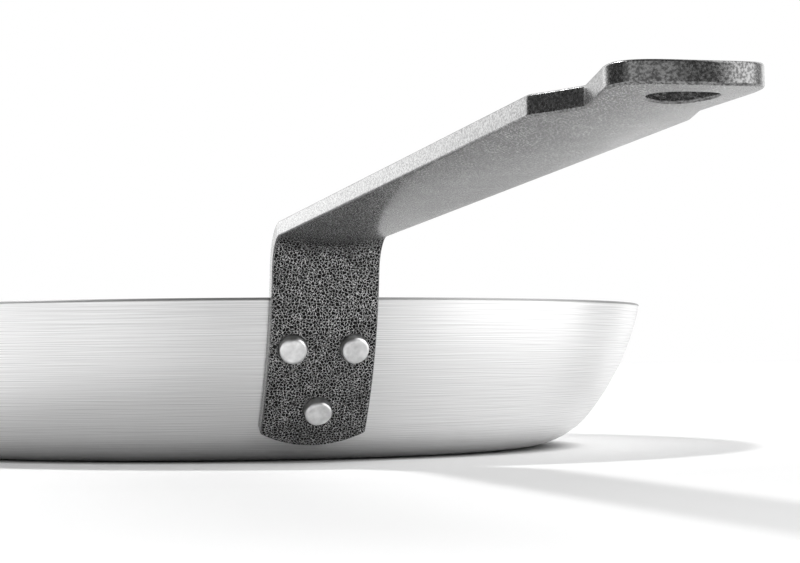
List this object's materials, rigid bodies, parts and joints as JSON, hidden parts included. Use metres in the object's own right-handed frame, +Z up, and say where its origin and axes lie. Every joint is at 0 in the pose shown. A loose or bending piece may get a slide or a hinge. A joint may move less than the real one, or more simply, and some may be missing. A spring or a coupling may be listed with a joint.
{
  "type": "omelette pan",
  "caption": "Round shallow aluminium pan with sloping wall and a flat strip handle, riveted outside, that bends over the rim and ends in a round head with a hang hole.",
  "frame": {"origin": "middle of the flat base's underside, on the dish's axis", "axes": "+X along the handle, away from the dish; +Z up, along the dish's axis"},
  "size_m": [0.4855, 0.2398, 0.0675],
  "materials": {
    "spun_aluminium": "brushed round the dish",
    "hammer_finish_coat": "hammer finish powder coat on steel",
    "rivet_aluminium": "bare, set ends"
  },
  "bodies": {
    "root": {"dish": "spun_aluminium", "handle": "hammer_finish_coat", "rivet_left": "rivet_aluminium", "rivet_right": "rivet_aluminium", "rivet_lower": "rivet_aluminium"}
  },
  "joints": []
}
